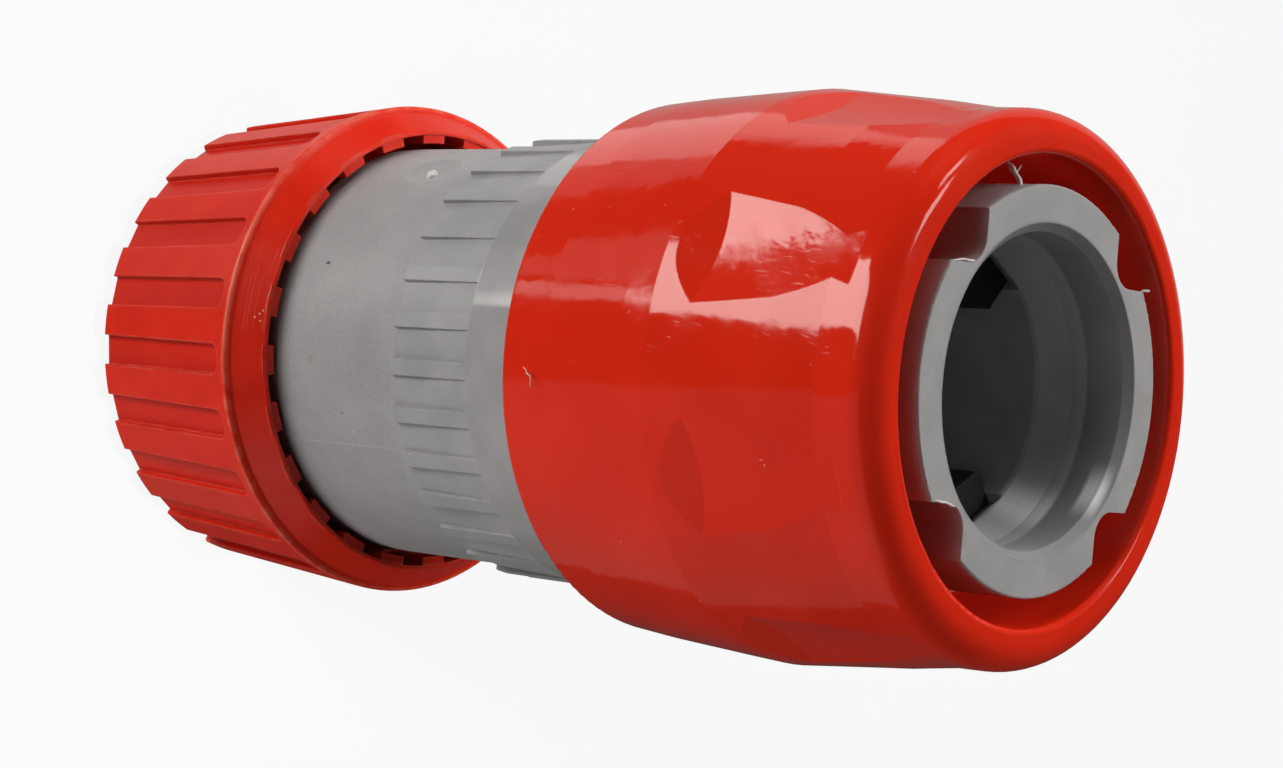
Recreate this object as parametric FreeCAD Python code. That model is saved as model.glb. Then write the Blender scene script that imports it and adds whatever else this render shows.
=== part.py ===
import FreeCAD, Part
import math
import os

os.makedirs("parts", exist_ok=True)

# A garden hose quick connector for 19 mm hose, standing on its hose nut.
# Origin on the axis at the nut's back face, +Z out of the socket's mouth.
# The three claws sit at 90, 210 and 330 degrees, and the ring's four corner channels
# at 45, 135, 225 and 315.

# Clearances
RUN = 0.08                         # radial running clearance of every sliding pair
PLAY = 0.2                         # clearance where two pieces only face each other
SLOT_CLEAR = 0.07                  # each side of a claw in its slot

# Socket: the bore that takes the plug, and the ring around it
GUIDE_R = 11.05
GUIDE_LEN = 4.9
MOUTH_CHAMFER = 0.62
NOSE_STEP = 0.91                   # from the guide bore in to the nose bore
THROAT_LEN = 2.26
WATER_STEP = 1.54                  # from the nose bore in to the waterway
WATER_TAPER_LEN = 1.6
RING_WALL = 3.25
CORE_WALL = 1.85                   # each side of the blind core between waterway and ring
CORE_LEN = 16.0

# Four corner channels in the ring, their walls square to X and Y
CHANNEL_WALL = 8.0
CHANNEL_BACK = 2.7                 # from the slot's front edge back to the channel's end
CHANNEL_FILLET = 1.9
CHANNELS = 4

# Claws and the sloping slots that guide them out and back
CLAWS = 3
CLAW_FIRST_DEG = 90.0
CLAW_SLOPE_DEG = 28.0
CLAW_W = 4.35
CLAW_BITE = 2.05                   # how far the crest stands into the nose bore
CLAW_FACE_DEG = 11.0               # front face, from square to the axis
CLAW_FACE_IN = 0.5                 # front face starts this far inside the slot
SLOT_LEN = 9.0
SLOT_WEB = 0.44                    # from the slot's front edge to the throat
HEAD_W = 6.4
HEAD_LEN = 5.4
HEAD_RISE = 2.2                    # head's top above the ring
HEAD_NECK = 3.27                   # along the ring, from head to slot
HEAD_BEVEL = 0.6

# Sleeve
TRAVEL = 4.0
STOP_GAP = 0.4                     # flange to barrel with the sleeve pulled fully back
FLANGE_T = 2.2                     # flange that the spring pushes on
SLEEVE_WALL = 2.57
SLEEVE_LAP = 1.9                   # sleeve's back edge behind the barrel's front
RIDGE_LEN = 14.5                   # back edge to ridge
RIDGE_RISE = 0.87
LIP_OVER = 0.2                     # lip in front of the socket's mouth
LIP_GAP = 2.1                      # between ring and lip
LIP_ROUND = 2.0
LIP_LEN = 9.8                      # lip to the step in the sleeve's bore
FRONT_TAPER = ((0.94, 8.8), (1.5, 4.7), (1.62, 0.0))   # drop from the ridge, place behind the lip
DIMPLES = 8
DIMPLE_FIRST_DEG = 67.5
DIMPLE_UP = 3.9                    # ridge to where the dimple's back wall meets its floor
DIMPLE_DROP = 0.97                 # floor below the ridge there
DIMPLE_LEN = 11.2                  # floor, from back wall to front wall
DIMPLE_TILT_DEG = 3.63
DIMPLE_WALL_DEG = 16.2             # back wall, from the axis
DIMPLE_END_DEG = 35.0              # front wall
DIMPLE_HOLLOW_R = 55.0             # floor's hollow from side to side
DIMPLE_ROOM = 25.0                 # wider than the dimple comes out

# Body barrel behind the sleeve
SPRING_ROOM = 2.5                  # width of the spring pocket
BARREL_WALL = 0.8
BARREL_LEN = 16.55
POCKET_FLOOR = 1.8                 # from the tail's seat to the pocket's floor
RIBS = 30
RIB_FIRST_DEG = 6.0
RIB_LEN = 8.25
RIB_GAP_DEG = 8.0
RIB_H = 0.42                       # at the hose end
RIB_END_H = 0.13                   # at the sleeve's end

# Return spring
WIRE_R = 0.6
COILS = 4.0

# Hose tail
TAIL_STEP = 0.75                   # from the barrel in to the tail
TAIL_LEN = 15.25                   # shoulder to the barrel's back face
SPIGOT_STEP = 2.43
SPIGOT_LEN = 4.75
SPIGOT_WALL = 2.6
SHOULDER_STEP = 2.2                # from the tail in to the threaded neck
SHOULDER_ROUND = 0.8
WEB_BACK = 5.1                     # from the shoulder to the hose's stop
WEB_T = 3.0
NECK_WALL = 1.15
NECK_END_Z = 8.0
HOSE_WALL = 4.0                    # room between neck and barbed pipe
PIPE_WALL = 1.7
BARB_TIP_Z = 3.0
BARB_RISE = 0.8
BARB_STEP = 2.6
BARBS = 5
SEAL_GROOVE = (1.5, 2.0)           # depth and width
SEAL_BACK = 1.4                    # from the spigot's end to the groove
SEAL_PINCH = 0.1
GATE_DEG = 33.0
GATE_UP = 9.3                      # moulding gate's dish, above the shoulder
GATE_R = 8.6
GATE_DEPTH = 0.4

# Thread between tail and nut, right-handed
PITCH = 4.0
THREAD_H = 1.05
THREAD_BASE = 2.5
THREAD_CREST = 1.3
THREAD_PLAY = 0.3
THREAD_UP = 0.9                    # from the neck's end to the tail's thread
TAIL_THREAD_LEN = 8.0
NUT_THREAD_UP = 1.0                # from the tail's thread to the nut's
NUT_THREAD_LEN = 4.4

# Hose nut
TOOTH_GAP = 0.5                    # teeth to the tail they surround
TOOTH_H = 0.7
TOOTH_DEG = 7.6
TOOTH_LEN = 5.0
NUT_WALL = 2.4                     # lip's bore to the widest outside
NUT_TAPER = 1.35
NUT_CORNER_Z = 17.45
NUT_ROUND = 0.2
NUT_STEP = (0.6, 0.3)              # ledge inside the corner: width and rise
NUT_LIP = 2.55
NUT_LAP = 1.6                      # lip in front of the tail's shoulder, which it hides
POCKETS = 24
POCKET_FIRST_DEG = 6.6
POCKET_DEG = 6.9
POCKET_DEPTH = 0.65
POCKET_BACK = 0.85                 # front of a pocket behind the nut's corner
POCKET_ROUND = 0.95

# Grip collet
HOSE_CLEAR = 0.1
COLLET_WALL = 1.3
COLLET_GRIP = 0.5                  # collet's bore inside the hose room
COLLET_LOW_Z = 2.5
CONE_TOP_Z = 6.3
COLLET_TOP_Z = 7.8
COLLET_SLITS = 8
SLIT_FIRST_DEG = 22.5
SLIT_W = 1.0
SLIT_LEN = 3.7
GRIP_TEETH = 3
GRIP_TOOTH_STEP = 1.5

# Radii, from the bore outwards
NOSE_R = GUIDE_R - NOSE_STEP
WATER_R = NOSE_R - WATER_STEP
RING_R = GUIDE_R + RING_WALL
POCKET_R = RING_R + SPRING_ROOM
BARREL_R = POCKET_R + BARREL_WALL
SLEEVE_BACK_R = BARREL_R + RUN + SLEEVE_WALL
RIDGE_R = SLEEVE_BACK_R + RIDGE_RISE
TAIL_R = BARREL_R - TAIL_STEP
SPIGOT_R = TAIL_R - SPIGOT_STEP
NECK_R = TAIL_R - SHOULDER_STEP
HOSE_ROOM_R = NECK_R - NECK_WALL
BARB_R = HOSE_ROOM_R - HOSE_WALL
TAIL_BORE_R = BARB_R - PIPE_WALL
TOOTH_TIP_R = TAIL_R + TOOTH_GAP
NUT_LIP_R = TOOTH_TIP_R + TOOTH_H
NUT_R = NUT_LIP_R + NUT_WALL
NUT_BACK_R = NUT_R - NUT_TAPER
NUT_ROOT_R = NECK_R + THREAD_H + THREAD_PLAY
HOSE_HOLE_R = HOSE_ROOM_R + HOSE_CLEAR
COLLET_R = HOSE_HOLE_R + COLLET_WALL
COLLET_BORE_R = HOSE_ROOM_R - COLLET_GRIP

# Distance outward that a claw gains per millimetre back, and over the sleeve's whole travel
RISE = math.tan(math.radians(CLAW_SLOPE_DEG))
LIFT = TRAVEL * RISE

# Heights, from the nut's back face up
NUT_LIP_Z = NUT_CORNER_Z + NUT_LIP
SHOULDER_Z = NUT_LIP_Z - NUT_LAP
WEB_Z = SHOULDER_Z + WEB_BACK
BARREL_BACK_Z = SHOULDER_Z + TAIL_LEN
SPIGOT_Z = BARREL_BACK_Z + SPIGOT_LEN
POCKET_Z = SPIGOT_Z + POCKET_FLOOR
RIB_END_Z = BARREL_BACK_Z + RIB_LEN
BARREL_TOP_Z = BARREL_BACK_Z + BARREL_LEN
SLEEVE_BACK_Z = BARREL_TOP_Z - SLEEVE_LAP
SEAT_Z = BARREL_TOP_Z + TRAVEL + STOP_GAP
HEAD_LOW_Z = SEAT_Z + FLANGE_T
HEAD_HIGH_Z = HEAD_LOW_Z + HEAD_LEN
THROAT_Z = HEAD_HIGH_Z + HEAD_NECK             # slot's front edge on the ring's outside
SLOT_FRONT_Z = THROAT_Z + (RING_R - NOSE_R) / RISE
NOSE_END_Z = HEAD_LOW_Z + PLAY
WATER_TOP_Z = NOSE_END_Z - WATER_TAPER_LEN
CHANNEL_END_Z = SLOT_FRONT_Z - CHANNEL_BACK
NOSE_TOP_Z = SLOT_FRONT_Z + SLOT_WEB
GUIDE_END_Z = NOSE_TOP_Z + THROAT_LEN
MOUTH_Z = GUIDE_END_Z + GUIDE_LEN
HEIGHT = MOUTH_Z + LIP_OVER
RIDGE_Z = SLEEVE_BACK_Z + RIDGE_LEN

UP = FreeCAD.Vector(0, 0, 1)
ZERO = FreeCAD.Vector(0, 0, 0)


def vec(x, y, z):
    return FreeCAD.Vector(x, y, z)


# A closed solid of revolution. Each corner is (r, z) or (r, z, rounding radius).
def lathe(corners):
    count = len(corners)
    edges = []
    starts = []
    ends = []
    for i in range(count):
        here = vec(corners[i][0], 0, corners[i][1])
        size = corners[i][2] if len(corners[i]) > 2 else 0.0
        before = vec(corners[i - 1][0], 0, corners[i - 1][1])
        after = vec(corners[(i + 1) % count][0], 0, corners[(i + 1) % count][1])
        if size == 0.0:
            starts.append(here)
            ends.append(here)
            edges.append(None)
            continue
        a = (before - here).normalize()
        b = (after - here).normalize()
        half = a.getAngle(b) / 2.0
        back = size / math.tan(half)
        middle = here + (a + b).normalize() * (size / math.sin(half) - size)
        starts.append(here + a * back)
        ends.append(here + b * back)
        edges.append(middle)
    outline = []
    for i in range(count):
        if edges[i] is not None:
            outline.append(Part.Arc(starts[i], edges[i], ends[i]).toShape())
        follow = starts[(i + 1) % count]
        if (follow - ends[i]).Length > 1e-6:
            outline.append(Part.LineSegment(ends[i], follow).toShape())
    face = Part.Face(Part.Wire(outline))
    return face.revolve(ZERO, UP, 360)


# A flat outline in the plane of axis and radius, given thickness across, at 0 degrees
def slab(outline, width):
    points = [vec(r, -width / 2.0, z) for r, z in outline]
    points.append(points[0])
    face = Part.Face(Part.makePolygon(points))
    return face.extrude(vec(0, width, 0))


def turned(shape, degrees):
    copy = shape.copy()
    copy.rotate(ZERO, UP, degrees)
    return copy


def ring_of(shape, count, first):
    return [turned(shape, first + 360.0 * i / count) for i in range(count)]


# A wedge: an outline of (r, z) corners swept through an angle about the axis, middle at 0
def wedge(outline, degrees):
    points = [vec(r, 0, z) for r, z in outline]
    points.append(points[0])
    face = Part.Face(Part.makePolygon(points))
    face.rotate(ZERO, UP, -degrees / 2.0)
    return face.revolve(ZERO, UP, degrees)


# A thread ridge on a helix; the base sits a little inside the wall that carries it
def thread(base_r, tip_r, z0, z1, phase):
    out = 1.0 if tip_r > base_r else -1.0
    sunk = 0.4
    flare = (THREAD_BASE - THREAD_CREST) / 2.0 / THREAD_H * sunk
    low = base_r - out * sunk
    base = THREAD_BASE / 2.0 + flare
    crest = THREAD_CREST / 2.0
    helix = Part.makeHelix(PITCH, z1 - z0 - THREAD_BASE, low)
    corners = [vec(low, 0, -base), vec(tip_r, 0, -crest), vec(tip_r, 0, crest), vec(low, 0, base)]
    corners.append(corners[0])
    profile = Part.makePolygon(corners)
    ridge = Part.Wire(helix.Edges).makePipeShell([profile], True, True)
    ridge = Part.Solid(ridge) if ridge.ShapeType != "Solid" else ridge
    ridge.translate(vec(0, 0, z0 + THREAD_BASE / 2.0))
    return turned(ridge, phase)


def save(shape, name):
    shape = shape.removeSplitter()
    solids = shape.Solids
    if len(solids) != 1 or not shape.isValid():
        print("check", name, len(solids), shape.isValid())
    solids[0].exportStep("parts/" + name + ".step")
    print(name, round(solids[0].Volume / 1000.0, 2), "cm3")


# Height of a sloping wall at radius r, if it meets the nose bore at height z
def slope_z(z, r):
    return z + (NOSE_R - r) / RISE


# Socket body: lathe work first
lead_in = 0.5
body = lathe([
    (GUIDE_R + MOUTH_CHAMFER, MOUTH_Z),
    (GUIDE_R, MOUTH_Z - MOUTH_CHAMFER),
    (GUIDE_R, GUIDE_END_Z),
    (NOSE_R, NOSE_TOP_Z),
    (NOSE_R, NOSE_END_Z),
    (WATER_R, WATER_TOP_Z),
    (WATER_R, SPIGOT_Z + PLAY),
    (SPIGOT_R + RUN, SPIGOT_Z + PLAY),
    (SPIGOT_R + RUN, BARREL_BACK_Z + lead_in),
    (SPIGOT_R + RUN + lead_in, BARREL_BACK_Z),
    (BARREL_R, BARREL_BACK_Z, 0.25),
    (BARREL_R, BARREL_TOP_Z, 0.4),
    (POCKET_R, BARREL_TOP_Z),
    (POCKET_R, POCKET_Z),
    (RING_R, POCKET_Z),
    (RING_R, MOUTH_Z, 0.15),
])
core_low_z = SPIGOT_Z - 1.0
core_taper = 0.2
core = lathe([
    (WATER_R + CORE_WALL, core_low_z),
    (RING_R - CORE_WALL, core_low_z),
    (RING_R - CORE_WALL - core_taper, core_low_z + CORE_LEN, 0.8),
    (WATER_R + CORE_WALL + core_taper, core_low_z + CORE_LEN, 0.8),
])
cuts = [core]

# Four corner channels, open outwards and at the mouth
corner = vec(CHANNEL_WALL, CHANNEL_WALL, CHANNEL_END_Z)
channel = Part.makeBox(RING_R, RING_R, MOUTH_Z, corner)
upright = []
for edge in channel.Edges:
    start = edge.Vertexes[0].Point
    end = edge.Vertexes[-1].Point
    at_corner = abs(start.x - CHANNEL_WALL) < 1e-6 and abs(start.y - CHANNEL_WALL) < 1e-6
    if at_corner and abs(end.z - start.z) > 1.0:
        upright.append(edge)
channel = channel.makeFillet(CHANNEL_FILLET, upright)
cuts += ring_of(channel, CHANNELS, 0.0)

# Three sloping slots; both guide walls run parallel to the claw's path
low_r = NOSE_R - 1.6
high_r = RING_R + 1.0
slot_back_z = SLOT_FRONT_Z - SLOT_LEN
slot = slab([
    (low_r, slope_z(SLOT_FRONT_Z, low_r)),
    (high_r, slope_z(SLOT_FRONT_Z, high_r)),
    (high_r, slope_z(slot_back_z, high_r)),
    (low_r, slope_z(slot_back_z, low_r)),
], CLAW_W + 2 * SLOT_CLEAR)
keep_mouth = Part.makeCylinder(RING_R, MOUTH_Z - NOSE_TOP_Z, vec(0, 0, NOSE_TOP_Z - SLOT_WEB / 2.0), UP)
cuts += ring_of(slot.cut(keep_mouth), CLAWS, CLAW_FIRST_DEG)

# Gripping ribs: a gap floor that falls away towards the hose end leaves each rib standing
past = 1.0
gap = wedge([
    (BARREL_R - RIB_H, BARREL_BACK_Z - past),
    (BARREL_R - RIB_H, BARREL_BACK_Z),
    (BARREL_R - RIB_END_H, RIB_END_Z),
    (BARREL_R + past, RIB_END_Z),
    (BARREL_R + past, BARREL_BACK_Z - past),
], RIB_GAP_DEG)
cuts += ring_of(gap, RIBS, RIB_FIRST_DEG)
body = body.cut(Part.makeCompound(cuts))
save(body, "socket_body")

# Claws: a head caught in the sleeve, and a sloping tongue whose square end stands in the bore
along = SLOT_CLEAR / math.sin(math.radians(CLAW_SLOPE_DEG))
front_z = SLOT_FRONT_Z - along
back_z = slot_back_z + along
neck_r = RING_R - 0.1
crest_r = NOSE_R - CLAW_BITE
face_r = NOSE_R + CLAW_FACE_IN
face_z = slope_z(front_z, face_r)
crest_z = face_z - (face_r - crest_r) * math.tan(math.radians(CLAW_FACE_DEG))
tongue = slab([
    (crest_r, crest_z),
    (face_r, face_z),
    (neck_r, slope_z(front_z, neck_r)),
    (neck_r, HEAD_HIGH_Z),
    (RING_R + 1.0, HEAD_HIGH_Z),
    (RING_R + 1.0, HEAD_LOW_Z),
    (NOSE_R + (back_z - HEAD_LOW_Z) * RISE, HEAD_LOW_Z),
    (crest_r, slope_z(back_z, crest_r)),
], CLAW_W)
head_top_r = RING_R + HEAD_RISE
head = slab([
    (RING_R + RUN, HEAD_LOW_Z),
    (RING_R + RUN, HEAD_HIGH_Z),
    (head_top_r - HEAD_BEVEL, HEAD_HIGH_Z),
    (head_top_r, HEAD_HIGH_Z - HEAD_BEVEL),
    (head_top_r, HEAD_LOW_Z + HEAD_BEVEL),
    (head_top_r - HEAD_BEVEL, HEAD_LOW_Z),
], HEAD_W)
saddle = Part.makeCylinder(RING_R + RUN, HEAD_LEN + 2.0, vec(0, 0, HEAD_LOW_Z - 1.0), UP)
claw = tongue.fuse(head.cut(saddle))
for number in range(CLAWS):
    save(turned(claw, CLAW_FIRST_DEG + 360.0 * number / CLAWS), "claw_%d" % (number + 1))

# Lock sleeve: outside swells to a ridge, inside carries the claw groove and the spring seat
groove_low_z = HEAD_LOW_Z - PLAY
groove_high_z = HEAD_HIGH_Z + PLAY
groove_r = math.hypot(head_top_r + LIFT, HEAD_W / 2.0) + PLAY
throat_r = RING_R + LIFT + PLAY
lip_bore_r = RING_R + LIP_GAP
step_z = HEIGHT - LIP_LEN
outside = [(RIDGE_R - drop, HEIGHT - behind) for drop, behind in FRONT_TAPER]
sleeve = lathe([
    (BARREL_R + RUN, SLEEVE_BACK_Z, 0.3),
    (SLEEVE_BACK_R, SLEEVE_BACK_Z, 0.5),
    (SLEEVE_BACK_R + 0.4 * RIDGE_RISE, SLEEVE_BACK_Z + 0.3 * RIDGE_LEN),
    (RIDGE_R - 0.14 * RIDGE_RISE, SLEEVE_BACK_Z + 0.82 * RIDGE_LEN),
    (RIDGE_R, RIDGE_Z),
    outside[0],
    outside[1],
    outside[2] + (LIP_ROUND,),
    (lip_bore_r, HEIGHT, 0.45),
    (lip_bore_r - 0.3, step_z, 0.8),
    (RING_R + RUN, step_z - 0.6),
    (RING_R + RUN, THROAT_Z + (LIFT + PLAY) / RISE),
    (throat_r, THROAT_Z + 0.3),
    (throat_r, groove_high_z),
    (groove_r, groove_high_z, 0.4),
    (groove_r, groove_low_z, 0.4),
    (RING_R + RUN, groove_low_z),
    (RING_R + RUN, SEAT_Z),
    (BARREL_R + RUN, SEAT_Z, 0.5),
])

# Finger dimples: a slightly hollow floor between a long back wall and a short front wall
foot_r = RIDGE_R - DIMPLE_DROP
foot_z = RIDGE_Z + DIMPLE_UP
end_z = foot_z + DIMPLE_LEN
end_r = foot_r - DIMPLE_LEN * math.tan(math.radians(DIMPLE_TILT_DEG))
clear_r = RIDGE_R + 1.0
deep_r = end_r - 1.0
back_lean = 1.0 / math.tan(math.radians(DIMPLE_WALL_DEG))
front_lean = 1.0 / math.tan(math.radians(DIMPLE_END_DEG))
half_w = DIMPLE_ROOM / 2.0
side_rise = DIMPLE_HOLLOW_R - math.sqrt(DIMPLE_HOLLOW_R ** 2 - half_w ** 2)


def floor_section(z):
    r = foot_r - (z - foot_z) * math.tan(math.radians(DIMPLE_TILT_DEG))
    left = vec(r + side_rise, -half_w, z)
    right = vec(r + side_rise, half_w, z)
    floor = Part.Arc(left, vec(r, 0, z), right).toShape()
    above = [right, vec(clear_r + 1.0, half_w, z), vec(clear_r + 1.0, -half_w, z), left]
    return Part.Wire([floor] + Part.makePolygon(above).Edges)


hollow = Part.makeLoft([floor_section(foot_z - DIMPLE_LEN), floor_section(end_z + DIMPLE_LEN)], True, True)
scoop = slab([
    (clear_r, foot_z - (clear_r - foot_r) * back_lean),
    (deep_r, foot_z + (foot_r - deep_r) * back_lean),
    (deep_r, end_z - (end_r - deep_r) * front_lean),
    (clear_r, end_z + (clear_r - end_r) * front_lean),
], DIMPLE_ROOM).common(hollow)
sleeve = sleeve.cut(Part.makeCompound(ring_of(scoop, DIMPLES, DIMPLE_FIRST_DEG)))
save(sleeve, "lock_sleeve")

# Return spring: round wire, one flat dead coil at each end
coil_r = (RING_R + POCKET_R) / 2.0
seat_gap = 0.05
low_z = POCKET_Z + WIRE_R + seat_gap
high_z = SEAT_Z - WIRE_R - seat_gap
dead = 2 * WIRE_R + seat_gap
climb = (high_z - low_z - 2 * dead) / COILS
spots = []
steps = 24
for k in range(int((COILS + 2) * steps) + 1):
    turn = k / float(steps)
    ease_in = min(turn, 1.0)
    ease_out = max(0.0, turn - COILS - 1.0)
    middle = min(max(turn - 1.0, 0.0), COILS)
    z = low_z + ease_in * dead + middle * climb + ease_out * dead
    angle = 2 * math.pi * turn
    spots.append(vec(coil_r * math.cos(angle), coil_r * math.sin(angle), z))
path = Part.BSplineCurve()
path.interpolate(spots)
wire_path = Part.Wire([path.toShape()])
heading = path.tangent(path.FirstParameter)[0]
section = Part.Wire([Part.Circle(spots[0], heading, WIRE_R).toShape()])
spring = wire_path.makePipeShell([section], True, True)
save(Part.Solid(spring) if spring.ShapeType != "Solid" else spring, "return_spring")

# Hose tail: spigot for the body, shoulder, threaded neck and the barbed pipe inside it
groove_depth, groove_w = SEAL_GROOVE
groove_top_z = SPIGOT_Z - SEAL_BACK
shoulder_low_z = SHOULDER_Z - SHOULDER_ROUND
face_gap = 0.12
tip = 1.2
tail = lathe([
    (TAIL_BORE_R, BARB_TIP_Z),
    (BARB_R - 0.7, BARB_TIP_Z, 0.3),
    (BARB_R, BARB_TIP_Z + tip),
    (BARB_R, WEB_Z, 0.8),
    (HOSE_ROOM_R, WEB_Z, 0.8),
    (HOSE_ROOM_R, NECK_END_Z),
    (NECK_R, NECK_END_Z, 0.3),
    (NECK_R, shoulder_low_z, 0.5),
    (TAIL_R, shoulder_low_z, SHOULDER_ROUND),
    (TAIL_R, BARREL_BACK_Z - face_gap, 0.2),
    (SPIGOT_R, BARREL_BACK_Z - face_gap),
    (SPIGOT_R, groove_top_z - groove_w),
    (SPIGOT_R - groove_depth, groove_top_z - groove_w),
    (SPIGOT_R - groove_depth, groove_top_z),
    (SPIGOT_R, groove_top_z),
    (SPIGOT_R, SPIGOT_Z, 0.4),
    (SPIGOT_R - SPIGOT_WALL, SPIGOT_Z, 0.4),
    (SPIGOT_R - SPIGOT_WALL, WEB_Z + WEB_T, 0.8),
    (BARB_R - 0.1, WEB_Z + WEB_T, 0.8),
    (BARB_R - 0.1, SPIGOT_Z),
    (TAIL_BORE_R + 0.6, SPIGOT_Z),
    (TAIL_BORE_R, SPIGOT_Z - 2.0),
])
barbs = []
for number in range(BARBS):
    z = BARB_TIP_Z + tip + BARB_STEP * number
    barbs.append(lathe([
        (BARB_R - 0.4, z),
        (BARB_R, z),
        (BARB_R + BARB_RISE, z + 1.7),
        (BARB_R + BARB_RISE, z + 1.95),
        (BARB_R, z + 2.05),
        (BARB_R - 0.4, z + 2.05),
    ]))
gate = Part.makeSphere(GATE_R)
gate.translate(vec(TAIL_R + GATE_R - GATE_DEPTH, 0, SHOULDER_Z + GATE_UP))
tail = tail.fuse(barbs)
tail = tail.cut(turned(gate, GATE_DEG))
tail_thread_z = NECK_END_Z + THREAD_UP
tail_thread = thread(NECK_R, NECK_R + THREAD_H, tail_thread_z, tail_thread_z + TAIL_THREAD_LEN, 0.0)
save(tail.fuse(tail_thread), "hose_tail")

# Seal between tail and body, pinched between the groove's floor and the body's bore
seal_wire_r = (groove_depth + RUN - SEAL_PINCH) / 2.0
seal_r = SPIGOT_R + RUN - SEAL_PINCH / 2.0 - seal_wire_r
seal = Part.makeTorus(seal_r, seal_wire_r, vec(0, 0, groove_top_z - groove_w / 2.0), UP)
save(seal, "joint_seal")

# Hose nut: outside flares to a crisp corner, a ledge and a coned lip
floor_z = COLLET_LOW_Z - 0.4
tooth_room_z = NUT_LIP_Z - TOOTH_LEN + 0.4
nut = lathe([
    (HOSE_HOLE_R, 0.0, 0.4),
    (NUT_BACK_R, 0.0, 0.35),
    (NUT_R, NUT_CORNER_Z, NUT_ROUND),
    (NUT_R - NUT_STEP[0], NUT_CORNER_Z + NUT_STEP[1]),
    (NUT_LIP_R + 0.25, NUT_LIP_Z, 0.2),
    (NUT_LIP_R, NUT_LIP_Z),
    (NUT_LIP_R, tooth_room_z, 0.4),
    (NUT_ROOT_R, tooth_room_z - 0.2),
    (NUT_ROOT_R, COLLET_TOP_Z + 1.2),
    (COLLET_R + RUN, COLLET_TOP_Z + 0.8),
    (COLLET_R + RUN, CONE_TOP_Z),
    (HOSE_HOLE_R + 0.4, floor_z),
    (HOSE_HOLE_R, floor_z - 0.1),
])

# Thumb pockets outside and, behind each, a tooth inside, so the wall keeps its thickness
slope = math.degrees(math.atan(NUT_TAPER / NUT_CORNER_Z))
pocket_front_z = NUT_CORNER_Z - POCKET_BACK
pocket_w = 2 * NUT_R * math.sin(math.radians(POCKET_DEG / 2.0))
pocket_len = pocket_front_z * 2.0
pocket = Part.makeBox(4.0, pocket_w, pocket_len, vec(0, -pocket_w / 2.0, -pocket_len))
front_edges = []
for edge in pocket.Edges:
    start = edge.Vertexes[0].Point
    end = edge.Vertexes[-1].Point
    if min(start.z, end.z) > -0.01 and abs(end.x - start.x) > 1.0:
        front_edges.append(edge)
pocket = pocket.makeFillet(POCKET_ROUND, front_edges)
pocket.rotate(ZERO, vec(0, 1, 0), slope)
pocket.translate(vec(NUT_R - POCKET_DEPTH, 0, pocket_front_z))
nut = nut.cut(Part.makeCompound(ring_of(pocket, POCKETS, POCKET_FIRST_DEG)))
tooth = wedge([
    (TOOTH_TIP_R, NUT_LIP_Z - TOOTH_LEN),
    (NUT_LIP_R + 0.4, NUT_LIP_Z - TOOTH_LEN),
    (NUT_LIP_R + 0.4, NUT_LIP_Z - 0.1),
    (TOOTH_TIP_R, NUT_LIP_Z - 0.1),
], TOOTH_DEG)
nut = nut.fuse(ring_of(tooth, POCKETS, POCKET_FIRST_DEG))
nut_thread_z = tail_thread_z + NUT_THREAD_UP
phase = NUT_THREAD_UP / PITCH * 360.0 + 180.0
nut_thread = thread(NUT_ROOT_R, NUT_ROOT_R - THREAD_H, nut_thread_z, nut_thread_z + NUT_THREAD_LEN, phase)
save(nut.fuse(nut_thread), "hose_nut")

# Grip collet: a slit ring whose cone the nut presses onto the hose
collet_corners = [
    (COLLET_BORE_R, COLLET_LOW_Z),
    (HOSE_HOLE_R + 0.4, COLLET_LOW_Z),
    (COLLET_R, CONE_TOP_Z),
    (COLLET_R, COLLET_TOP_Z, 0.3),
    (COLLET_BORE_R, COLLET_TOP_Z, 0.3),
]
for number in range(GRIP_TEETH):
    tooth_z = COLLET_TOP_Z - 0.9 - GRIP_TOOTH_STEP * number
    collet_corners.append((COLLET_BORE_R, tooth_z + 0.15))
    collet_corners.append((COLLET_BORE_R - 0.4, tooth_z))
    collet_corners.append((COLLET_BORE_R, tooth_z - 0.8))
slit = Part.makeBox(6.0, SLIT_W, SLIT_LEN + 1.0, vec(COLLET_BORE_R - 2.0, -SLIT_W / 2.0, COLLET_LOW_Z - 1.0))
collet = lathe(collet_corners).cut(Part.makeCompound(ring_of(slit, COLLET_SLITS, SLIT_FIRST_DEG)))
save(collet, "grip_collet")
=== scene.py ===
import math

import bmesh
import bpy
from mathutils import Matrix, Vector


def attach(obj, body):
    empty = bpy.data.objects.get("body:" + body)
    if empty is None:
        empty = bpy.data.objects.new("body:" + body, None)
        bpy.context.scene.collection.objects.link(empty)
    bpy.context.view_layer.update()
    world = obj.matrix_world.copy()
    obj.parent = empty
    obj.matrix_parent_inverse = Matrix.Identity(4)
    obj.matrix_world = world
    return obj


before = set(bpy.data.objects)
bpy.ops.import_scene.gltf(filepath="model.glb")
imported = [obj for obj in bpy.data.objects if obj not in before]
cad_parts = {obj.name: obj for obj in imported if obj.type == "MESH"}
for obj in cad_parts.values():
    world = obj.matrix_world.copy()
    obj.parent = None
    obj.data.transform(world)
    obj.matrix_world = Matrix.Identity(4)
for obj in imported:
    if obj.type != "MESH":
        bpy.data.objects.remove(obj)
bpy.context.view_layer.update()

# Camera. It looks down on the standing connector from beside the sleeve, rolled so that the
# connector's axis lies across the picture with the socket's mouth on the right.
MM = 0.001    # sizes here are millimetres, and the frame's are metres
VIEW_RIGHT = Vector((0.08486, -0.66915, 0.73827))
VIEW_UP = Vector((0.99632, 0.06618, -0.05454))
VIEW_BACK = VIEW_RIGHT.cross(VIEW_UP)
CAMERA_PLACE = Vector((-4.117, 158.366, 187.507))
FILM_WIDTH = 36.0
LENS = 76.975
camera_data = bpy.data.cameras.new("camera")
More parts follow.
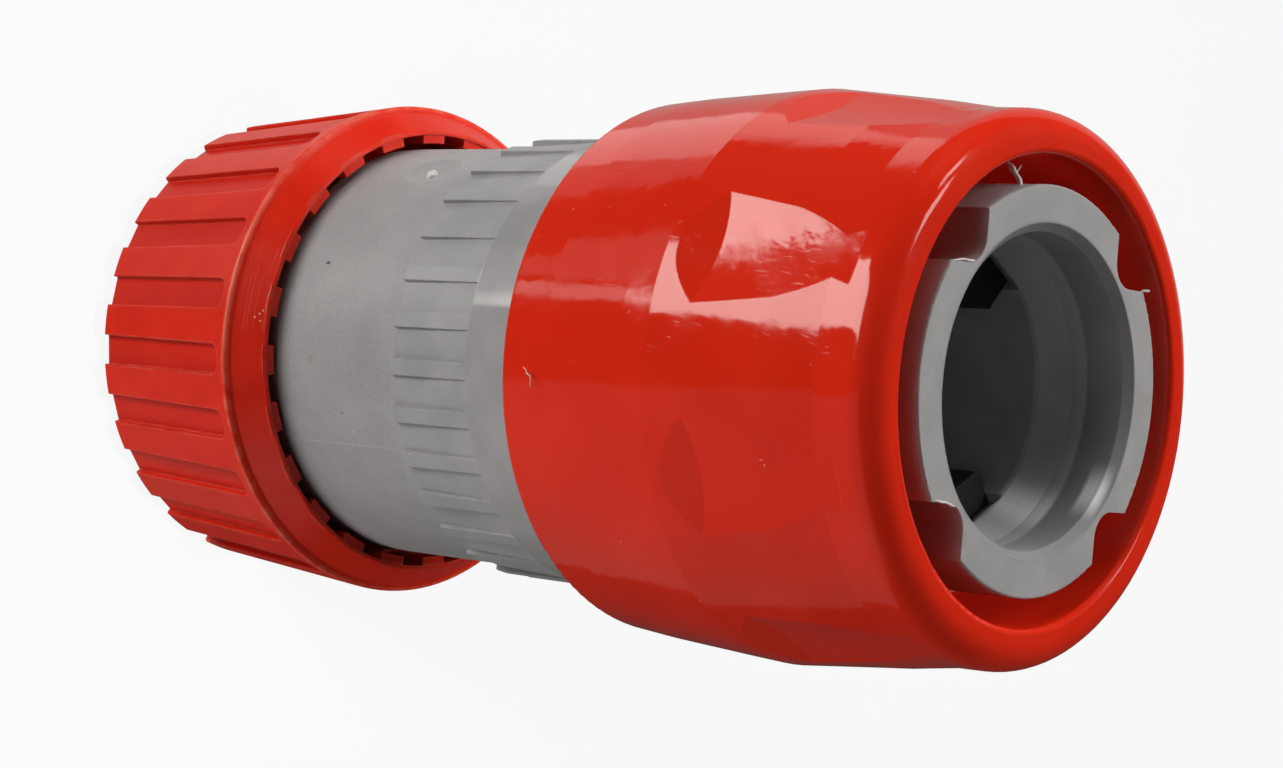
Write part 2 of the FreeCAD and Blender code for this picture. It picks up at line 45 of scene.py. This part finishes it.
camera_data.sensor_width = FILM_WIDTH
camera_data.lens = LENS
camera_data.clip_start = 0.01
camera = bpy.data.objects.new("camera", camera_data)
bpy.context.scene.collection.objects.link(camera)
turn = Matrix((VIEW_RIGHT, VIEW_UP, VIEW_BACK)).transposed().to_4x4()
camera.matrix_world = Matrix.Translation(CAMERA_PLACE * MM) @ turn
bpy.context.scene.camera = camera


# Hose tail. Grey moulded plastic with an even, fine-grained matte skin, screwed into the nut and
# sealed in the socket body. It keeps its parting line, its gate's broken pip and a few specks of
# dirt pressed into the skin.
class Wire:
    """A socket in a material's node tree that can be reckoned with like a number."""

    def __init__(self, tree, socket):
        self.tree = tree
        self.socket = socket

    def make(self, kind, settings, inputs, output=0):
        node = self.tree.nodes.new(kind)
        for name, setting in settings.items():
            setattr(node, name, setting)
        for name, value in inputs.items():
            if isinstance(value, Wire):
                self.tree.links.new(value.socket, node.inputs[name])
            else:
                node.inputs[name].default_value = value
        return Wire(self.tree, node.outputs[output])

    def math(self, operation, *values):
        return self.make("ShaderNodeMath", {"operation": operation}, dict(enumerate(values)))

    def __add__(self, other):
        return self.math("ADD", self, other)

    def __radd__(self, other):
        return self.math("ADD", other, self)

    def __sub__(self, other):
        return self.math("SUBTRACT", self, other)

    def __rsub__(self, other):
        return self.math("SUBTRACT", other, self)

    def __mul__(self, other):
        return self.math("MULTIPLY", self, other)

    def __rmul__(self, other):
        return self.math("MULTIPLY", other, self)

    def __truediv__(self, other):
        return self.math("DIVIDE", self, other)

    def root(self):
        return self.math("SQRT", self)

    def between(self, low, high):
        """0 at low, 1 at high, and no further."""
        spots = {"Value": self, "From Min": low, "From Max": high}
        return self.make("ShaderNodeMapRange", {"interpolation_type": "SMOOTHSTEP"}, spots)

    def inside(self, low, high, soft):
        """1 from low to high, falling to 0 over the soft length past each."""
        return self.between(low - soft, low) * self.between(high + soft, high)

    def stretched(self, across, through, along):
        """This place with its three lengths stretched, so that clouds at it are drawn out."""
        inputs = {0: self, 1: (across, through, along)}
        return self.make("ShaderNodeVectorMath", {"operation": "MULTIPLY"}, inputs)

    def noise(self, per_mm, detail=2.0, rough=0.5):
        """Clouds at this place, that many lumps to a millimetre, from 0 to 1."""
        inputs = {"Vector": self, "Scale": per_mm, "Detail": detail, "Roughness": rough}
        return self.make("ShaderNodeTexNoise", {}, inputs)

    def blend(self, one, other):
        """Colour one where this is 0, and the other where it is 1."""
        inputs = {0: self, 6: one, 7: other}
        return self.make("ShaderNodeMix", {"data_type": "RGBA"}, inputs, 2)


def colour(red, green, blue):
    """A colour as a picture shows it, 0 to 255, turned into light."""
    light = []
    for value in (red, green, blue):
        step = value / 255.0
        light.append(((step + 0.055) / 1.055) ** 2.4 if step > 0.04045 else step / 12.92)
    return (*light, 1.0)


class Finish:
    """A material with the wires that every finish here starts from. Lengths in it are millimetres."""

    def __init__(self, name, **sockets):
        self.material = bpy.data.materials.new(name)
        self.material.use_nodes = True
        self.tree = self.material.node_tree
        self.tree.nodes.clear()
        start = Wire(self.tree, None)
        metres = start.make("ShaderNodeTexCoord", {}, {}, 3)
        scale = {0: metres, 3: 1.0 / MM}
        self.place = start.make("ShaderNodeVectorMath", {"operation": "SCALE"}, scale)
        self.x, self.y, self.z = (
            start.make("ShaderNodeSeparateXYZ", {}, {0: self.place}, axis) for axis in range(3))
        self.radius = (self.x * self.x + self.y * self.y).root()
        self.angle = start.math("ARCTAN2", self.y, self.x)
        unrolled = {0: self.angle * self.radius, 1: self.radius, 2: self.z}
        self.wall = start.make("ShaderNodeCombineXYZ", {}, unrolled)
        self.shader = self.tree.nodes.new("ShaderNodeBsdfPrincipled")
        for socket, value in sockets.items():
            self.shader.inputs[socket.replace("_", " ")].default_value = value
        output = self.tree.nodes.new("ShaderNodeOutputMaterial")
        self.tree.links.new(self.shader.outputs[0], output.inputs[0])

    def rings(self, per_mm):
        """Fine lines round the axis, as a lathe leaves them."""
        return self.wall.stretched(0.02, 1.0, 1.0).noise(per_mm, 3.0, 0.6)

    def spot(self, radius, degrees, height, half_around, half_along, ragged=0.9):
        """1 on a small mark at an angle and height on a wall of that radius, 0 outside it."""
        away = (self.angle - math.radians(degrees)) * (radius / half_around)
        up = (self.z - height) / half_along
        wobble = self.place.noise(3.0) * ragged - ragged / 2
        return ((away * away + up * up).root() + wobble).between(1.0, 0.75)

    def edges(self, width):
        """1 along sharp edges, 0 on open walls."""
        rounded = self.place.make("ShaderNodeBevel", {"samples": 4}, {"Radius": width * MM})
        facing = self.place.make("ShaderNodeNewGeometry", {}, {}, 1)
        both = {0: rounded, 1: facing}
        level = self.place.make("ShaderNodeVectorMath", {"operation": "DOT_PRODUCT"}, both, 1)
        return (1 - level).between(0.01, 0.15)

    def set(self, socket, value):
        self.tree.links.new(value.socket, self.shader.inputs[socket])

    def bump(self, height, edge=0.0):
        """Relief of that height in millimetres, and sharp edges rounded by that radius."""
        inputs = {"Height": height, "Distance": MM, "Strength": 1.0}
        if edge:
            inputs["Normal"] = height.make("ShaderNodeBevel", {"samples": 4}, {"Radius": edge * MM})
        self.set("Normal", height.make("ShaderNodeBump", {}, inputs))

    def paint(self, *nodes):
        for node in nodes:
            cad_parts[node].data.materials.clear()
            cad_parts[node].data.materials.append(self.material)


TAIL_R = 16.85
SEAM_DEG = 118.8
SEAM_HALF = 0.04
# Each mark has its angle, its height, then half its width and half its length.
TAIL_SPECKS = ((69.3, 23.7, 0.16, 0.28), (109.8, 27.0, 0.09, 0.09), (205.0, 25.0, 0.12, 0.08))
TAIL_STAIN = (95.8, 23.7, 0.4, 0.5)
TAIL_NICK = (114.8, 27.9, 0.16, 0.12)
tail = Finish("grey_matte_plastic", Roughness=0.46)
grain = tail.place.noise(5.0, 3.0, 0.65)
clouds = tail.place.noise(0.25)
skin = (clouds * 0.4 + grain * 0.6).between(0.3, 0.7).blend(colour(143, 142, 144), colour(160, 159, 161))
for degrees, height, wide, tall in TAIL_SPECKS:
    skin = tail.spot(TAIL_R, degrees, height, wide, tall).blend(skin, colour(38, 34, 34))
skin = (tail.spot(TAIL_R, *TAIL_STAIN) * 0.25).blend(skin, colour(150, 110, 80))
skin = (tail.spot(TAIL_R, *TAIL_NICK) * 0.6).blend(skin, colour(205, 202, 198))
seam = (tail.angle - math.radians(SEAM_DEG)) * TAIL_R
seam = seam.inside(-SEAM_HALF, SEAM_HALF, SEAM_HALF)
tail.set("Base Color", (seam * 0.25).blend(skin, colour(190, 187, 184)))
tail.bump(grain * 0.03 + seam * 0.02, 0.12)
tail.paint("hose_tail")

# Gate pip. The low torn nub that the moulding gate left in its dish on the tail, painted paler than the
# skin round it as a painted highlight.
PIP_DEG = 34.3
PIP_Z = 27.9
PIP_FOOT_R = TAIL_R - 0.42
PIP_WIDE = 0.55
PIP_TALL = 0.5


def nub(name, degrees, height, foot_r, wide, tall):
    """A low mound on a round wall, torn unevenly at its top."""
    mesh = bpy.data.meshes.new(name)
    shape = bmesh.new()
    bmesh.ops.create_icosphere(shape, subdivisions=3, radius=1.0)
    out = Vector((math.cos(math.radians(degrees)), math.sin(math.radians(degrees)), 0.0))
    side = Vector((-out.y, out.x, 0.0))
    for vert in shape.verts:
        torn = 1.0 + 0.22 * math.sin(7.0 * vert.co.x + 3.0 * vert.co.y) * math.cos(5.0 * vert.co.y)
        place = out * (foot_r + tall * vert.co.z * torn) + side * (wide * vert.co.x * torn)
        place.z += height + wide * 0.8 * vert.co.y
        vert.co = place * MM
    shape.to_mesh(mesh)
    shape.free()
    for face in mesh.polygons:
        face.use_smooth = True
    return bpy.data.objects.new(name, mesh)


pip = nub("gate_pip", PIP_DEG, PIP_Z, PIP_FOOT_R, PIP_WIDE, PIP_TALL)
bpy.context.scene.collection.objects.link(pip)
scar = Finish("grey_gate_scar", Roughness=0.3)
torn = scar.place.noise(3.0)
# The pale colour is a painted highlight on the nub.
scar.set("Base Color", torn.blend(colour(196, 194, 192), colour(226, 224, 222)))
scar.bump(torn * 0.05)
pip.data.materials.append(scar.material)
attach(pip, "connector")


# Joint seal. A black rubber ring, moulded and slightly dull, stretched into the groove round the
# tail's spigot and squeezed by the socket body.
rubber = Finish("seal_rubber", Roughness=0.6)
dull = rubber.place.noise(1.0)
rubber.set("Base Color", dull.blend(colour(28, 28, 28), colour(42, 41, 40)))
rubber.bump(dull * 0.01)
rubber.paint("joint_seal")


# Socket body. The same grey plastic, moulded against polished steel on its band and bore and against a
# finer grain on its ring, with rough flash along the ring's edges. Its edges, its bore's cone and two
# streaks in the bore are given painted highlights, and the guide wall painted shade.
BAND_BACK_Z = 42.0
BAND_FRONT_Z = 53.0
BAND_R = 15.0
BORE_R = 11.6
CONE_BACK_Z = 73.4
CONE_FRONT_Z = 77.2
# Two painted highlight streaks in the bore, each with its back end, its front end and its angle.
BORE_HIGHLIGHT_STREAKS = ((73.6, 77.0, -139.0), (79.3, 80.4, -127.0))
body = Finish("grey_satin_plastic")
grain = body.place.noise(5.0, 3.0, 0.6)
clouds = body.place.noise(0.3)
turned = body.rings(6.0)
band = body.z.inside(BAND_BACK_Z, BAND_FRONT_Z, 0.15) * body.radius.between(BAND_R - 0.4, BAND_R)
bore = body.radius.between(BORE_R + 0.3, BORE_R)
polished = band.math("MAXIMUM", band, bore)
grey = clouds.between(0.3, 0.7).blend(colour(148, 148, 150), colour(158, 157, 160))
# Sharp edges are painted paler in broken patches: a painted edge highlight.
edge = body.edges(0.14) * body.place.noise(1.6).between(0.35, 0.6)
grey = (edge * 0.5).blend(grey, colour(188, 186, 184))
# The bore's cone is painted paler as a painted sheen, and the guide wall in front of it darker as
# painted shade.
grey = (bore * body.z.inside(CONE_BACK_Z, CONE_FRONT_Z, 0.1) * 0.5).blend(grey, colour(190, 190, 192))
grey = (bore * body.z.between(CONE_FRONT_Z, CONE_FRONT_Z + 0.3) * 0.5).blend(grey, colour(112, 112, 114))
# Each streak is a painted highlight, brightest where the turned rings are.
for low_z, high_z, degrees in BORE_HIGHLIGHT_STREAKS:
    middle = math.radians(degrees)
    highlight_streak = body.angle.inside(middle - 0.02, middle + 0.02, 0.24)
    highlight_streak = highlight_streak * body.z.inside(low_z, high_z, 0.5)
    grey = (highlight_streak * bore * (turned * 0.6 + 0.45)).blend(grey, colour(252, 252, 252))
body.set("Base Color", grey)
body.set("Roughness", 0.42 - band * 0.33 - bore * 0.16 + grain * 0.05)
relief = grain * (1 - polished) * 0.02 + turned * band * 0.002 + turned * bore * 0.006
body.bump(relief, 0.12)
body.paint("socket_body")


# Flash. Threads of the same plastic left where the mould's halves met, paler for being thin. One
# long thread stands from the ring's edge, and rough lines run along the channels' corners.
def strand(name, thick, path):
    """A tapering thread through places in millimetres, each with its share of the thickness."""
    line = bpy.data.curves.new(name, "CURVE")
    line.dimensions = "3D"
    line.bevel_depth = thick / 2 * MM
    line.bevel_resolution = 2
    line.use_fill_caps = True
    spline = line.splines.new("NURBS")
    spline.points.add(len(path) - 1)
    for point, (x, y, z, share) in zip(spline.points, path):
        point.co = (x * MM, y * MM, z * MM, 1.0)
        point.radius = share
    spline.order_u = 3
    spline.use_endpoint_u = True
    holder = bpy.data.objects.new(name + "_line", line)
    mesh = bpy.data.meshes.new_from_object(holder)
    bpy.data.objects.remove(holder)
    mesh.name = name
    for face in mesh.polygons:
        face.use_smooth = True
    piece = bpy.data.objects.new(name, mesh)
    bpy.context.scene.collection.objects.link(piece)
    return piece


# Each thread has its thickness, then its places with their shares of it.
FLASH = {
    "flash_thread": (0.40, (
        (13.95, 2.6, 79.4, 1.0), (14.35, 2.5, 79.3, 1.0), (14.75, 2.75, 79.1, 0.8),
        (15.1, 3.1, 79.0, 1.3), (15.35, 3.05, 78.8, 0.7), (15.6, 3.4, 78.6, 0.35))),
    "flash_curl": (0.16, (
        (14.85, 2.8, 79.1, 1.0), (15.1, 2.5, 79.2, 0.9), (15.45, 2.35, 79.2, 0.4))),
    "flash_burr": (0.18, (
        (8.0, -11.75, 80.75, 1.0), (8.15, -11.95, 80.95, 1.2), (8.05, -12.25, 81.0, 0.8),
        (8.2, -12.5, 80.95, 0.4))),
    "flash_upper": (0.16, (
        (7.95, 11.7, 80.8, 0.4), (8.05, 11.1, 80.95, 1.1), (8.2, 10.4, 80.88, 0.7),
        (8.1, 9.8, 80.98, 1.2), (8.2, 9.2, 80.85, 0.5))),
    "flash_lower": (0.18, (
        (-7.8, 11.6, 80.8, 0.4), (-8.0, 10.9, 80.98, 1.2), (-7.95, 10.2, 80.9, 0.6),
        (-8.15, 9.7, 81.0, 1.3), (-8.2, 9.1, 80.85, 0.5))),
}
flash = Finish("grey_flash", Roughness=0.5, Transmission_Weight=0.2)
thin = flash.place.noise(2.5)
flash.set("Base Color", thin.blend(colour(214, 211, 209), colour(238, 236, 234)))
flash.bump(thin * 0.02)
for name, (thick, path) in FLASH.items():
    piece = strand(name, thick, path)
    piece.data.materials.append(flash.material)
    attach(piece, "connector")


# Return spring. Bright drawn steel wire, coiled with a dead turn at each end. It sits in the
# body's pocket and pushes the sleeve's flange forward.
spring = Finish("spring_steel", Metallic=1.0, Roughness=0.25)
drawn = spring.place.noise(3.0)
spring.set("Base Color", drawn.blend(colour(150, 150, 152), colour(190, 190, 190)))
spring.bump(drawn * 0.004)
spring.paint("return_spring")


# Claws. Black moulded plastic with a fine grain on the ramp that the plug's collar meets. Each
# slides in a sloping slot of the body and is held by its head in the sleeve's groove.
claws = Finish("black_matte_plastic")
grain = claws.place.noise(7.0, 3.0, 0.6)
claws.set("Base Color", grain.between(0.35, 0.75).blend(colour(14, 14, 15), colour(42, 42, 43)))
claws.set("Roughness", 0.3 + grain * 0.2)
claws.bump(grain * 0.05, 0.12)
claws.paint("claw_1", "claw_2", "claw_3")


# Lock sleeve. Red plastic moulded against polished steel, with the light scratches, dust and
# lint of handling. It slides back on the body against the spring.
SLEEVE_R = 21.0
# Each speck has its angle, its height, then half its width and half its length.
SLEEVE_SPECKS = (
    (59.8, 51.8, 0.10, 0.06), (59.7, 55.5, 0.08, 0.05), (59.5, 60.9, 0.09, 0.05),
    (128.1, 57.9, 0.07, 0.07), (69.9, 70.4, 0.08, 0.08), (65.0, 73.1, 0.06, 0.06),
    (141.4, 62.8, 0.08, 0.05), (20.0, 56.0, 0.08, 0.08), (200.0, 60.0, 0.09, 0.06),
    (108.2, 72.0, 0.07, 0.16), (109.3, 72.2, 0.14, 0.06))
SLEEVE_WALL_R = 17.6
SLEEVE_EDGE_R = 18.4
SLEEVE_FRONT_Z = 81.0
sleeve = Finish("red_gloss_plastic", IOR=1.5, Emission_Strength=1.0)
waves = sleeve.place.noise(0.13, 1.0)
rubbed = sleeve.place.noise(0.35, 2.0).between(0.42, 0.62)
hairs = sleeve.wall.stretched(1.0, 1.0, 0.12).noise(5.0, 3.0, 0.65).between(0.60, 0.72)
turned = sleeve.rings(4.0)
dust = sleeve.place.noise(2.2, 4.0, 0.7).between(0.78, 0.84)
for degrees, height, wide, tall in SLEEVE_SPECKS:
    dust = dust.math("MAXIMUM", dust, sleeve.spot(SLEEVE_R, degrees, height, wide, tall))
red = waves.between(0.3, 0.7).blend(colour(211, 37, 14), colour(217, 41, 17))
sleeve.set("Base Color", (dust * 0.5).blend(red, colour(232, 150, 128)))
sleeve.set("Roughness", 0.06 + turned * rubbed * 0.10 + hairs * rubbed * 0.18 + dust * 0.3)
# Inside its mouth the wall is given a faint red emission: a painted glow that stands in for light coming
# through the plastic.
painted_glow = sleeve.radius.between(SLEEVE_EDGE_R, SLEEVE_WALL_R)
painted_glow = painted_glow * sleeve.z.between(SLEEVE_FRONT_Z, SLEEVE_FRONT_Z - 3.0)
sleeve.set("Emission Color", painted_glow.blend(colour(0, 0, 0), colour(74, 5, 3)))
ripple = sleeve.place.noise(0.9, 2.0)
scratches = turned * rubbed * 0.0015 - hairs * rubbed * 0.003
sleeve.bump(waves * 0.05 + ripple * 0.009 + scratches, 0.14)
sleeve.paint("lock_sleeve")

# Lint. A thin curl of pale fluff that clings to the sleeve's back half by itself. It is tinted,
# because the red behind it shows through.
LINT_R = 21.05
# Each place has its angle, its height and its share of the thickness.
LINT = (
    (93.4, 51.4, 0.6), (93.9, 51.75, 1.0), (94.6, 51.75, 1.0), (94.9, 52.15, 1.0),
    (96.0, 52.2, 1.0), (97.1, 52.1, 0.6))
path = []
for degrees, height, share in LINT:
    around = math.radians(degrees)
    path.append((LINT_R * math.cos(around), LINT_R * math.sin(around), height, share))
lint = strand("lint_curl", 0.13, path)
fluff = Finish("pale_lint", Roughness=0.8)
woolly = fluff.place.noise(4.0)
fluff.set("Base Color", woolly.blend(colour(206, 120, 104), colour(236, 190, 178)))
fluff.bump(woolly * 0.01)
lint.data.materials.append(fluff.material)
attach(lint, "sleeve")


# Grip collet. A slit ring moulded in white acetal, out of sight between nut and hose, which the
# nut closes on the hose as it is screwed on.
collet = Finish("white_acetal", Roughness=0.4)
milky = collet.place.noise(1.0)
collet.set("Base Color", milky.blend(colour(226, 224, 216), colour(238, 236, 230)))
collet.bump(milky * 0.01)
collet.paint("grip_collet")


# Hose nut. Red moulded plastic with a duller skin, screwed on the tail's neck. Fine rings are cut on its
# front cone. Its corner and its thumb pockets' edges are painted pale, partly as wear and partly as
# painted highlight, and its pocket floors are painted darker as painted shade.
NUT_CORNER_Z = 17.45
NUT_BACK_R = 19.1
NUT_SLOPE = 0.0774
FLECK_R = 19.4
# Each fleck has its angle and its height. The painted highlight line and the highlighted turned marks
# span their pairs.
NUT_FLECKS = ((85.3, 19.4), (87.0, 19.5), (86.2, 19.1), (84.4, 19.6))
HIGHLIGHT_LINE_DEG = (58, 92)
HIGHLIGHT_MARKS_DEG = (70, 88)
HIGHLIGHT_MARKS_Z = (18.2, 19.8)
nut = Finish("red_satin_plastic", IOR=1.4)
grain = nut.place.noise(4.0, 3.0, 0.6)
clouds = nut.place.noise(0.3)
cone = nut.z.between(NUT_CORNER_Z - 0.1, NUT_CORNER_Z + 0.3)
turned = nut.rings(7.0)
red = clouds.between(0.3, 0.7).blend(colour(210, 35, 16), colour(218, 41, 20))
outside = NUT_BACK_R + nut.z * NUT_SLOPE
# The pocket floors are painted darker: painted shade in the recesses.
pocket_shade = (outside - nut.radius).between(0.15, 0.5)
pocket_shade = pocket_shade * nut.z.between(NUT_CORNER_Z, NUT_CORNER_Z - 0.5)
red = (pocket_shade * 0.3).blend(red, colour(186, 26, 12))
# The corner and the sharp edges are painted pale in broken patches, partly wear and partly painted edge
# highlight.
corner = nut.z.inside(NUT_CORNER_Z - 0.25, NUT_CORNER_Z + 0.05, 0.2)
wear_and_highlight = corner * nut.place.noise(0.9, 3.0).between(0.3, 0.62)
rubbed = nut.edges(0.3) * nut.place.noise(0.7, 3.0).between(0.25, 0.6)
wear_and_highlight = wear_and_highlight.math("MAXIMUM", wear_and_highlight, rubbed)
# A pale line along the corner and pale turned marks over one span of the cone are painted highlights.
line = nut.z.inside(NUT_CORNER_Z - 0.12, NUT_CORNER_Z + 0.06, 0.1)
line = line * nut.angle.inside(*map(math.radians, HIGHLIGHT_LINE_DEG), 0.12) * clouds.between(0.2, 0.5)
highlight_marks = nut.angle.inside(*map(math.radians, HIGHLIGHT_MARKS_DEG), 0.06) * nut.z.inside(*HIGHLIGHT_MARKS_Z, 0.3)
highlight_marks = highlight_marks * turned.between(0.5, 0.7)
wear_and_highlight = wear_and_highlight.math("MAXIMUM", wear_and_highlight, line.math("MAXIMUM", line * 1.6, highlight_marks * 0.5))
red = (wear_and_highlight * 0.45).blend(red, colour(240, 120, 96))
for degrees, height in NUT_FLECKS:
    fleck = nut.spot(FLECK_R, degrees, height, 0.10, 0.07)
    red = (fleck * 0.7).blend(red, colour(246, 190, 176))
nut.set("Base Color", red)
nut.set("Roughness", 0.30 - cone * 0.10 + grain * 0.08)
nut.bump(grain * (1 - cone) * 0.012 + turned * cone * 0.003, 0.18)
nut.paint("hose_nut")


# Studio. A pale floor that rises into its own backdrop, a soft window beside the picture's left
# edge, a white wall behind the connector and two strips beyond its mouth. The fills soften the
# shadows and are kept out of every reflection.
FLOOR_FLAT = 0.9
FLOOR_RISE = 1.2
FLOOR_BEND_R = 0.48
FLOOR_BEND_STEPS = 12
FLOOR_STEPS = 64
PAPER_WHITE = (0.92, 0.92, 0.92, 1.0)


def dish(name):
    """A round floor that bends up into a wall at its rim, in metres."""
    mesh = bpy.data.meshes.new(name)
    shape = bmesh.new()
    profile = [(FLOOR_FLAT, 0.0)]
    for step in range(1, FLOOR_BEND_STEPS + 1):
        bend = math.radians(90.0 * step / FLOOR_BEND_STEPS)
        out = FLOOR_FLAT + FLOOR_BEND_R * math.sin(bend)
        profile.append((out, FLOOR_BEND_R * (1 - math.cos(bend))))
    profile.append((out, FLOOR_RISE))
    rows = []
    for out, up in profile:
        row = []
        for step in range(FLOOR_STEPS):
            around = 2 * math.pi * step / FLOOR_STEPS
            row.append(shape.verts.new((out * math.cos(around), out * math.sin(around), up)))
        rows.append(row)
    for low, high in zip(rows, rows[1:]):
        for near in range(FLOOR_STEPS):
            far = (near + 1) % FLOOR_STEPS
            shape.faces.new((low[near], low[far], high[far], high[near]))
    shape.faces.new(rows[0])
    shape.to_mesh(mesh)
    shape.free()
    return bpy.data.objects.new(name, mesh)


floor = dish("floor")
bpy.context.scene.collection.objects.link(floor)
for face in floor.data.polygons:
    face.use_smooth = True
paper = Finish("floor_paper", Roughness=0.9, Emission_Color=PAPER_WHITE, Emission_Strength=1.0)
fleck = paper.place.noise(0.05)
paper.set("Base Color", fleck.blend(colour(118, 118, 118), colour(124, 124, 124)))
floor.data.materials.append(paper.material)
# It shines evenly by itself, and neither lights nor shades the connector.
floor.visible_glossy = False
floor.visible_diffuse = False
floor.visible_shadow = False

MIDDLE = Vector((0, 0, 48)) * MM
WARM_WHITE = (1.0, 0.98, 0.93)


def soft_light(name, place, facing, size, radiance, mirrored=True):
    """A lit panel. Place and facing go right, up and towards the camera from the middle, in metres."""
    data = bpy.data.lights.new(name, "AREA")
    data.shape = "RECTANGLE"
    data.size, data.size_y = size
    data.energy = radiance * math.pi * size[0] * size[1]
    data.color = WARM_WHITE
    panel = bpy.data.objects.new(name, data)
    bpy.context.scene.collection.objects.link(panel)
    across = [VIEW_RIGHT, VIEW_UP, VIEW_BACK]
    place = sum((axis * step for axis, step in zip(across, place)), Vector())
    away = -sum((axis * step for axis, step in zip(across, facing)), Vector()).normalized()
    up = VIEW_UP if abs(away.dot(VIEW_UP)) < 0.9 else VIEW_BACK
    side = up.cross(away).normalized()
    turn = Matrix((side, away.cross(side), away)).transposed().to_4x4()
    panel.matrix_world = Matrix.Translation(MIDDLE + place) @ turn
    panel.visible_camera = False
    panel.visible_glossy = mirrored


# The window, two dimmer panes beside it and a faint sheen lower down, all at the picture's left.
SIDE_OUT = 0.45
soft_light("key_window", (-SIDE_OUT, 0.302, 0.20), (1, 0, 0), (0.40, 0.252), 7.0)
soft_light("side_pane", (-SIDE_OUT, 0.194, -0.056), (1, 0, 0), (0.112, 0.036), 1.5)
soft_light("side_sheen", (-SIDE_OUT, 0.338, -0.056), (1, 0, 0), (0.112, 0.220), 0.4)
soft_light("low_sheen", (-SIDE_OUT, -0.66, 0.10), (1, 0, 0), (1.40, 1.284), 0.17)

# The white wall behind, in layers with a sill and a brightness each, so that it fades downwards.
WALL_TOP = 0.90
WALL_LAYERS = ((-0.02, 0.30), (0.05, 0.28), (0.13, 0.15))
for number, (sill, radiance) in enumerate(WALL_LAYERS):
    place = (0.0, (WALL_TOP + sill) / 2, -0.5)
    soft_light("back_wall_%d" % number, place, (0, 0, 1), (1.4, WALL_TOP - sill), radiance)
soft_light("back_pane", (-0.22, 0.66, -0.49), (0, 0, 1), (0.30, 0.60), 0.7)

# The fills, which nothing mirrors.
soft_light("front_fill", (-0.45, 0.38, 0.5), (0.45, -0.38, -0.5), (0.5, 0.4), 2.0, False)
soft_light("under_fill", (-0.30, -0.55, 0.12), (0.30, 0.55, -0.12), (0.8, 0.5), 1.7, False)
soft_light("top_fill", (0.25, 0.8, 0.1), (-0.25, -0.8, -0.1), (0.5, 0.4), 4.0, False)
soft_light("mouth_fill", (0.8, 0.30, -0.05), (-0.8, -0.30, 0.05), (0.6, 0.6), 7.2, False)

# What the ring and the lip mirror beyond the mouth: a wide sheen and two strips.
STRIPS_UP = (0.20, 0.40)
soft_light("rim_sheen", (0.8, 0.30, -0.05), (-0.8, -0.30, 0.05), (0.6, 0.6), 0.8)
for number, above in enumerate(STRIPS_UP):
    place = (0.50, above, 0.19)
    soft_light("edge_strip_%d" % number, place, (-0.50, -above, -0.19), (0.14, 0.08), 6.0)

world = bpy.data.worlds.new("room")
world.use_nodes = True
room = world.node_tree.nodes["Background"].inputs
room["Color"].default_value = (1.0, 1.0, 1.0, 1.0)
room["Strength"].default_value = 0.04
bpy.context.scene.world = world
bpy.context.scene.view_settings.view_transform = "Standard"
